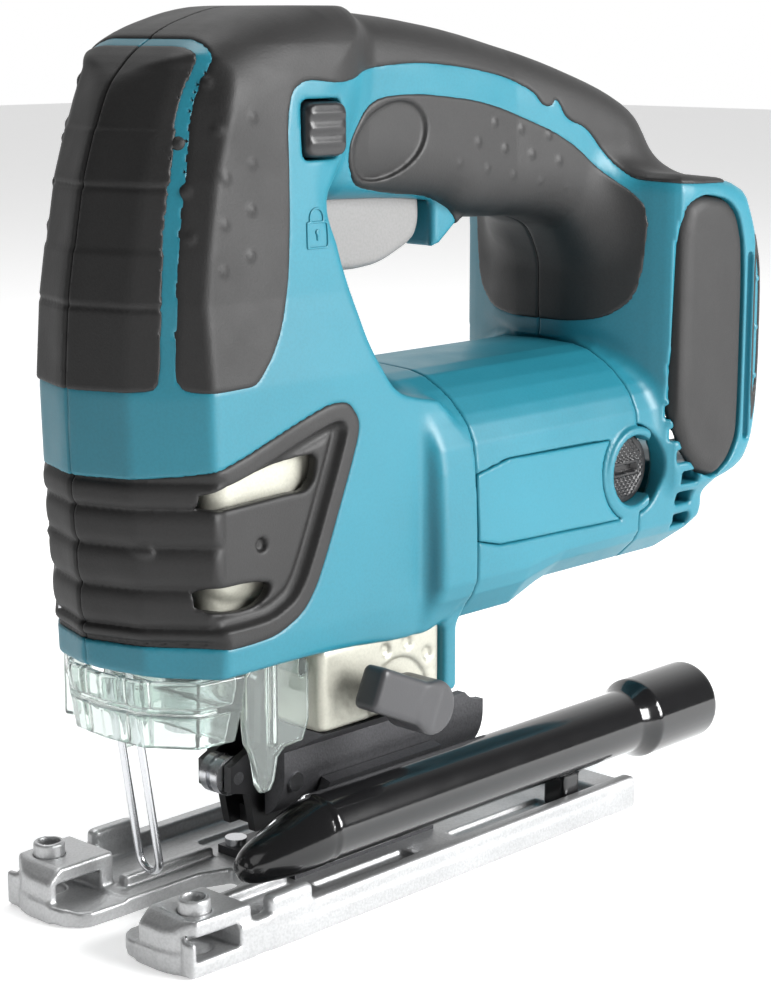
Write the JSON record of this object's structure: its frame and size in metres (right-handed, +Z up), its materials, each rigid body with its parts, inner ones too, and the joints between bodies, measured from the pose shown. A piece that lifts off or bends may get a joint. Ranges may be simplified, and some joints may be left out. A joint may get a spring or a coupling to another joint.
{
  "type": "cordless jigsaw",
  "caption": "D-handle cordless jigsaw with a tilting cast base, suction pipe, orbital action and a slide mount for a battery.",
  "frame": {"origin": "where the blade line crosses the plane of the sole, on the mid-plane of the tool", "axes": "+X towards the battery mount, +Y to the right side of the tool, +Z up from the sole"},
  "size_m": [0.2003, 0.074, 0.2],
  "materials": {
    "teal_plastic": "satin moulded, fine spark texture",
    "plate_teal": "smooth plate set in the moulding",
    "black_rubber": "matt overmould with raised dots and ribs",
    "grey_rubber": "matt overmould, slightly lighter",
    "steel": "ground",
    "dark_steel": "oiled dark steel",
    "clamp_steel": "turned",
    "black_plastic": "moulded",
    "red_plastic": "moulded",
    "grey_plastic": "moulded",
    "dark_grey_plastic": "moulded, worn edges",
    "brass": "drawn",
    "copper": "enamelled copper",
    "carbon": "pressed carbon",
    "magnet": "sintered",
    "cream_cast": "die-cast, satin",
    "dark_cast": "black coated casting",
    "cast_aluminium": "sand-blasted casting with machined faces",
    "clear_plastic": "clear moulded plastic",
    "gloss_black": "gloss"
  },
  "bodies": {
    "housing": {"housing_left": "teal_plastic", "housing_right": "teal_plastic", "motor_housing": "teal_plastic", "front_pad_left": "black_rubber", "front_pad_right": "black_rubber", "grip_left": "black_rubber", "grip_right": "black_rubber", "handle_inlay_left": "grey_rubber", "handle_inlay_right": "grey_rubber", "vent_cover_left": "black_rubber", "vent_cover_right": "black_rubber", "rear_bumper_left": "black_rubber", "rear_bumper_right": "black_rubber", "name_plate_left": "plate_teal", "name_plate_right": "plate_teal", "housing_screws": "steel", "terminal_block": "black_plastic", "terminal_contacts": "brass", "switch_body": "black_plastic", "gear_housing": "cream_cast", "gear_foot": "dark_cast", "guide_bushes": "brass", "gear_shaft": "steel", "motor_bearings": "steel", "motor_yoke": "dark_steel", "motor_magnets": "magnet", "brush_holders": "brass", "carbon_brushes": "carbon", "brush_springs": "steel", "brush_caps": "black_plastic", "holder_pin": "steel", "stop_pin": "steel", "guard_wire": "steel", "base_bolt": "dark_steel"},
    "trigger_body": {"trigger": "grey_plastic"},
    "plunger_body": {"switch_plunger": "red_plastic"},
    "lock_body": {"lock_button": "black_plastic"},
    "lever_body": {"orbit_lever": "dark_grey_plastic", "orbit_cam": "steel"},
    "slider_body": {"slider_rod": "steel", "blade_holder": "dark_steel"},
    "sleeve_body": {"clamp_sleeve": "clamp_steel"},
    "armature_body": {"motor_shaft": "steel", "pinion": "steel", "armature_core": "dark_steel", "armature_windings": "copper", "commutator": "copper", "cooling_fan": "black_plastic"},
    "crank_body": {"crank_gear": "dark_steel", "crank_pin": "steel"},
    "holder_body": {"roller_holder": "black_plastic", "roller_pin": "steel"},
    "roller_body": {"blade_roller": "steel"},
    "opener_body": {"tool_opener": "clear_plastic"},
    "cover_body": {"dust_cover": "clear_plastic"},
    "base_body": {"base_plate": "cast_aluminium", "base_inserts": "cast_aluminium", "base_bracket": "dark_cast", "bracket_screws": "steel", "dust_nozzle": "gloss_black"}
  },
  "joints": [
    {"name": "trigger_pull", "type": "hinge", "parent": "housing", "child": "trigger_body", "pos_m": [0.038, 0, 0.161], "axis": [0, -1, 0], "range_deg": [0, 6], "stiffness_Nm_per_rad": 0.6},
    {"name": "plunger_press", "type": "slide", "parent": "housing", "child": "plunger_body", "axis": [0, 0, 1], "range_m": [0, 0.0017]},
    {"name": "lock_slide", "type": "slide", "parent": "housing", "child": "lock_body", "axis": [0, 1, 0], "range_m": [0, 0.0048]},
    {"name": "orbit_select", "type": "hinge", "parent": "housing", "child": "lever_body", "pos_m": [0.04, 0, 0.0454], "axis": [0, 1, 0], "range_deg": [0, 113]},
    {"name": "blade_stroke", "type": "slide", "parent": "housing", "child": "slider_body", "axis": [0, 0, 1], "range_m": [0, 0.026]},
    {"name": "clamp_turn", "type": "hinge", "parent": "slider_body", "child": "sleeve_body", "pos_m": [0, 0, 0.0484], "axis": [0, 0, 1], "range_deg": [0, 40], "stiffness_Nm_per_rad": 0.05},
    {"name": "armature_spin", "type": "hinge", "parent": "housing", "child": "armature_body", "pos_m": [0.09, 0, 0.088], "axis": [1, 0, 0], "continuous": true},
    {"name": "crank_spin", "type": "hinge", "parent": "housing", "child": "crank_body", "pos_m": [0.013, 0, 0.1104], "axis": [1, 0, 0], "continuous": true},
    {"name": "orbit_swing", "type": "hinge", "parent": "housing", "child": "holder_body", "pos_m": [0.02, 0, 0.05], "axis": [0, 1, 0], "range_deg": [0, 3]},
    {"name": "roller_spin", "type": "hinge", "parent": "holder_body", "child": "roller_body", "pos_m": [0.009, 0, 0.029], "axis": [0, 1, 0], "continuous": true},
    {"name": "opener_swing", "type": "hinge", "parent": "housing", "child": "opener_body", "pos_m": [-0.017, 0.02, 0.05], "axis": [0, 0, -1], "range_deg": [0, 80], "stiffness_Nm_per_rad": 0.02},
    {"name": "cover_lift", "type": "slide", "parent": "housing", "child": "cover_body", "axis": [0, 0, 1], "range_m": [0, 0.0065]},
    {"name": "base_tilt", "type": "hinge", "parent": "housing", "child": "base_body", "pos_m": [0.04, 0, 0.03], "axis": [1, 0, 0], "range_deg": [0, 45]}
  ],
  "couplings": [
    {"joint": "crank_spin", "follows": "armature_spin", "ratio": -0.16667},
    {"joint": "plunger_press", "follows": "trigger_pull", "m_per_rad": 0.016}
  ]
}
